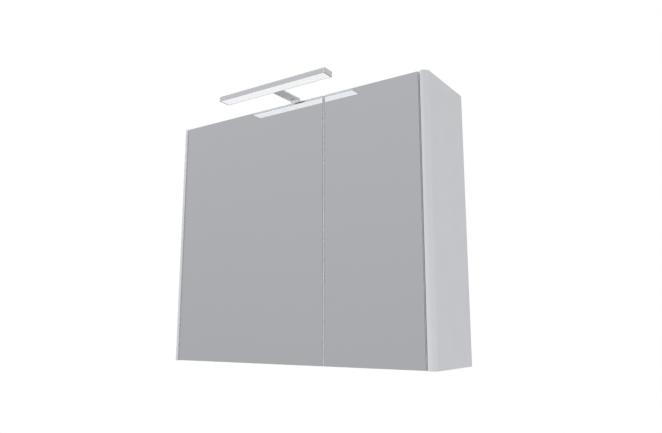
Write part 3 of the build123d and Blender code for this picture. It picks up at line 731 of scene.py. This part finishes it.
@dataclass
class Workshop:
    """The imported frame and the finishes, which every sub-assembly uses."""

    nodes: dict[str, bpy.types.Object]
    slots: dict[str, str]
    finishes: FinishSet
    waiting: set[str] = field(init=False)

    def __post_init__(self) -> None:
        """Notes which solids still wait for their finish."""
        self.waiting = set(self.nodes)

    def dress(self, names: list[str]) -> None:
        """Gives solids of the frame the materials of their slots.

        Args:
            names: Names of the solids.
        """
        for name in names:
            self.finishes.dress(self.nodes[name], self.slots[name])
            self.waiting.discard(name)
            LOG.info("%s dressed as %s", name, self.slots[name])

    def add(self, piece: bpy.types.Object, body: str, slot: str) -> None:
        """Adds a new piece to a body.

        Args:
            piece: The piece, in its place.
            body: The body that it rides on.
            slot: The material slot that it takes its finish from.
        """
        self.finishes.dress(piece, slot)
        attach(piece, body)
        LOG.info("%s added to %s", piece.name, body)


@dataclass
class Assembly(ABC):
    """One part of the cabinet: its solids and the screws that they carry."""

    workshop: Workshop

    def build(self) -> None:
        """Dresses the solids and adds the screws that the frame leaves out."""
        self.workshop.dress(self.solids())
        self.add_screws()

    @abstractmethod
    def solids(self) -> list[str]:
        """Names of the solids that belong to the assembly."""

    def add_screws(self) -> None:
        """Adds no screws, unless the assembly has some of its own."""


@dataclass
class Carcass(Assembly):
    """Boards, back, shelves and the small parts that join them."""

    def solids(self) -> list[str]:
        """Lists the solids of the carcass.

        Returns:
            Names of the boards, the shelves and the joining parts.
        """
        names = ["top_panel", "bottom_panel", "divider_panel", "back_panel"]
        names += ["carcass_dowels", "door_bumpers", "shelf_pins"]
        for side in Side:
            names.append(f"side_panel_{side.value}")
            names += [f"{side.value}_{level.value}_shelf" for level in Level]
        return names


@dataclass
class MirrorDoor(Assembly):
    """One door: a board with a mirror on its front."""

    side: Side

    def solids(self) -> list[str]:
        """Names of the board and the mirror."""
        return [f"{self.side.value}_door_board", f"{self.side.value}_door_mirror"]


@dataclass
class HingePair(Assembly):
    """The two concealed hinges of one door, with the adjusting screws on their arms."""

    side: Side
    arm_height: float = 0.009
    adjuster_insets: tuple[float, ...] = (0.009, 0.029)
    adjuster: ScrewHead = ScrewHead(
        radius=0.0033,
        height=0.0016,
        recess_reach=0.0021,
        recess_half_width=0.0005,
        recess_depth=0.0011,
    )

    def solids(self) -> list[str]:
        """Lists the solids of both hinges.

        Returns:
            Names of the pins and screws of the pair and of the parts of each hinge.
        """
        side = self.side.value
        names = [f"{side}_{kind}" for kind in ("arm_pins", "cup_pins", "plate_screws", "cup_screws")]
        for level in Level:
            for kind in ("hinge_plate", "hinge_arm", "hinge_cup", "long_link", "short_link"):
                names.append(f"{side}_{level.value}_{kind}")
        return names

    def add_screws(self) -> None:
        """Adds the adjusting screws, which sit on the web of each arm."""
        inward = 1.0 if self.side is Side.LEFT else -1.0
        for level in Level:
            name = f"{self.side.value}_{level.value}"
            low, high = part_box(f"{name}_hinge_arm")
            wall = low.x if self.side is Side.LEFT else high.x
            for number, inset in enumerate(self.adjuster_insets, start=1):
                seat = Vector((wall + inward * self.arm_height, high.y - inset, (low.z + high.z) / 2.0))
                head = self.adjuster.make(f"{name}_adjuster_{number}", seat, Vector((inward, 0.0, 0.0)))
                self.workshop.add(head, "cabinet", "screw")


@dataclass
class LightBar(Assembly):
    """Light bar, its bracket and the driver on top of the cabinet."""

    bracket_foot: float = 0.042
    bracket_rise: float = 0.016
    arm_screw_ahead: float = 0.010
    arm_screw: ScrewHead = ScrewHead(
        radius=0.0029,
        height=0.0009,
        recess_reach=0.0018,
        recess_half_width=0.0005,
        recess_depth=0.0007,
    )

    def solids(self) -> list[str]:
        """Lists the solids of the light.

        Returns:
            Names of the parts of the light bar, its bracket and its driver.
        """
        names = ["light_housing", "light_cap_left", "light_cap_right", "light_diffuser"]
        names += ["led_board", "led_chips", "light_bracket", "light_bracket_screws"]
        return names + ["driver_case", "driver_screws"]

    def add_screws(self) -> None:
        """Adds the screw in the underside of the bracket's arm."""
        low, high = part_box("light_bracket")
        riser = high.y - self.bracket_foot
        middle = (low.x + high.x) / 2.0
        seat = Vector((middle, riser - self.arm_screw_ahead, low.z + self.bracket_rise))
        head = self.arm_screw.make("bracket_arm_screw", seat, Vector((0.0, 0.0, -1.0)))
        self.workshop.add(head, "cabinet", "screw")


@dataclass
class WallFixing(Assembly):
    """Rail on the wall and the hooks that hang on it."""

    def solids(self) -> list[str]:
        """Names of the rail, the hooks and their screws."""
        return ["wall_rail", "hook_left", "hook_right", "hook_screws"]


def stage_sheet(name: str, corners: list[Triple], material: bpy.types.Material) -> bpy.types.Object:
    """Makes one flat sheet of the studio, which is seen and mirrored but lights no dull surface.

    Args:
        name: Name of the sheet.
        corners: Its four corners.
        material: Its paint.

    Returns:
        The new object.
    """
    mesh = bpy.data.meshes.new(name)
    mesh.from_pydata([Vector(corner) for corner in corners], [], [(0, 1, 2, 3)])
    mesh.materials.append(material)
    sheet = new_object(name, mesh)
    sheet.visible_diffuse = False
    return sheet


@dataclass(frozen=True)
class Floor:
    """Pale floor that still takes a shadow."""

    height: float = -2.0
    size: float = 5.0
    paint: Colour = (0.88, 0.88, 0.88)
    white_strength: float = 1.12
    white_share: float = 0.8

    def build(self) -> None:
        """Adds the floor."""
        half = self.size / 2
        z = self.height
        corners = [(-half, -half, z), (half, -half, z), (half, half, z), (-half, half, z)]
        stage_sheet("floor", corners, self._material())

    def _material(self) -> bpy.types.Material:
        """Paint that is nearly white to look at and shows its shadows faintly.

        Returns:
            The new material.
        """
        material, graph = new_material("floor_paint")
        paint = graph.node("ShaderNodeBsdfDiffuse", None, {"Color": self.paint})
        # Under the lamps the paint is darker than white, which the strength makes up for.
        white = graph.node("ShaderNodeEmission", None, {"Color": WHITE, "Strength": self.white_strength})
        share = graph.seen() * self.white_share
        both = graph.node("ShaderNodeMixShader", None, {0: share, 1: paint, 2: white})
        graph.node("ShaderNodeOutputMaterial", None, {"Surface": both})
        return material


@dataclass(frozen=True)
class GreyCard:
    """Upright sheet in front of the cabinet, which is what the mirrors show."""

    distance: float = 3.2
    width: float = 14.0
    low: float = -2.0
    high: float = 4.5
    rim: float = 2.2
    foot: float = 1.1
    shade_low: float = -0.9
    shade_high: float = 1.6
    bottom: Colour = (0.425, 0.428, 0.448)
    top: Colour = (0.472, 0.475, 0.496)

    def build(self) -> None:
        """Adds the card, which casts no shadow."""
        half = self.width / 2
        y = -self.distance
        low, high = self.low, self.high
        corners = [(-half, y, low), (half, y, low), (half, y, high), (-half, y, high)]
        sheet = stage_sheet("grey_card", corners, self._material())
        sheet.visible_shadow = False

    def _material(self) -> bpy.types.Material:
        """Grey that is shaded from bottom to top and fades to white at the rim.

        Returns:
            The new material.
        """
        material, graph = new_material("grey_card_paint")
        half = self.width / 2
        across = graph.node("ShaderNodeSeparateXYZ", None, {0: graph.place()})
        height = across.output("Z")
        grey = graph.mix(height.between(self.shade_low, self.shade_high), self.bottom, self.top)
        rim = abs(across).between(half - self.rim, half)
        rim = rim.at_least(height.between(self.high - self.rim, self.high))
        rim = rim.at_least(1.0 - height.between(self.low, self.low + self.foot))
        shown = graph.mix(rim.at_least(graph.camera_rays()), grey, WHITE)
        colour = graph.mix(graph.dulled(), shown, AMBIENT)
        shader = graph.node("ShaderNodeEmission", None, {"Color": colour, "Strength": 1.0})
        graph.node("ShaderNodeOutputMaterial", None, {"Surface": shader})
        material.cycles.emission_sampling = "NONE"
        return material


@dataclass(frozen=True)
class Softbox:
    """Square soft lamp, with its power in watts, that isn't seen in the mirrors."""

    name: str
    place: Triple
    size: float
    power: float
    aim: Triple = (0.0, -0.1, -0.25)

    def build(self) -> None:
        """Adds the lamp."""
        lamp = bpy.data.lights.new(self.name, "AREA")
        lamp.size = self.size
        lamp.energy = self.power
        holder = new_object(self.name, lamp)
        holder.location = self.place
        view = Vector(self.aim) - Vector(self.place)
        holder.rotation_euler = view.to_track_quat("-Z", "Y").to_euler()
        holder.visible_glossy = False


@dataclass(frozen=True)
class Skylight:
    """Wide light from far away, in watts per square metre, that isn't seen in the mirrors."""

    name: str
    towards: Triple
    strength: float
    spread: float = 40.0

    def build(self) -> None:
        """Adds the light."""
        light = bpy.data.lights.new(self.name, "SUN")
        light.energy = self.strength
        light.angle = math.radians(self.spread)
        holder = new_object(self.name, light)
        holder.rotation_euler = Vector(self.towards).to_track_quat("Z", "Y").to_euler()
        holder.visible_glossy = False


@dataclass(frozen=True)
class Studio:
    """World, floor, grey card, lamps and camera."""

    floor: Floor = Floor()
    card: GreyCard = GreyCard()
    lamps: tuple[Union[Softbox, Skylight], ...] = (
        Softbox("softbox_right", (1.3, -3.75, -1.2), size=1.8, power=81.0),
        Softbox("softbox_left", (-3.0, -1.8, 1.3), size=1.4, power=33.0),
        Skylight("skylight_rear", (-0.5, 0.72, 0.48), strength=1.2),
        Skylight("skylight_right", (0.75, 0.62, 0.2), strength=1.0),
    )
    camera_place: Triple = (0.8265, -1.2286, -0.4604)
    camera_pitch: float = 10.33
    camera_yaw: float = 34.01
    focal_pixels: float = 603.6
    sensor: float = 36.0

    def build(self) -> None:
        """Builds the whole studio."""
        self._world()
        self.floor.build()
        self.card.build()
        for lamp in self.lamps:
            lamp.build()
        self._camera()
        bpy.context.scene.view_settings.view_transform = "Standard"

    def _world(self) -> None:
        """White to look at, in glass and in metal too, and even soft light for everything else."""
        world = bpy.data.worlds.new("studio_world")
        world.use_nodes = True
        bpy.context.scene.world = world
        graph = Graph(world.node_tree)
        light = graph.node("ShaderNodeBackground", None, {"Color": AMBIENT, "Strength": 1.0})
        white = graph.node("ShaderNodeBackground", None, {"Color": WHITE, "Strength": 1.0})
        both = graph.node("ShaderNodeMixShader", None, {0: graph.seen(), 1: light, 2: white})
        graph.node("ShaderNodeOutputWorld", None, {"Surface": both})
        # The world is even, so rays aimed at it would only add grain.
        world.cycles.sampling_method = "NONE"

    def _camera(self) -> None:
        """Camera at the viewpoint of the photograph."""
        data = bpy.data.cameras.new("camera")
        data.sensor_fit = "HORIZONTAL"
        data.sensor_width = self.sensor
        data.lens = self.focal_pixels * self.sensor / IMAGE_WIDTH
        camera = new_object("camera", data)
        camera.location = self.camera_place
        turn = (math.radians(90.0 + self.camera_pitch), 0.0, math.radians(self.camera_yaw))
        camera.rotation_euler = turn
        bpy.context.scene.camera = camera


def node_slots(record: dict[str, Any]) -> dict[str, str]:
    """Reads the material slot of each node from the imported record.

    Args:
        record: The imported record.

    Returns:
        The slot of each node.
    """
    return {part["node"]: part["material_slot"] for part in record["subparts"]}


def main() -> None:
    """Builds the scene in order."""
    logging.basicConfig(level=logging.INFO, format="%(name)s: %(message)s")
    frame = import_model()
    workshop = Workshop(frame["nodes"], node_slots(frame["record"]), FinishSet(FINISHES))
    assemblies: list[Assembly] = [Carcass(workshop)]
    for side in Side:
        assemblies += [MirrorDoor(workshop, side), HingePair(workshop, side)]
    assemblies += [LightBar(workshop), WallFixing(workshop)]
    for assembly in assemblies:
        assembly.build()
    if workshop.waiting:
        LOG.error("without a finish: %s", sorted(workshop.waiting))
    Studio().build()


if __name__ == "__main__":
    main()
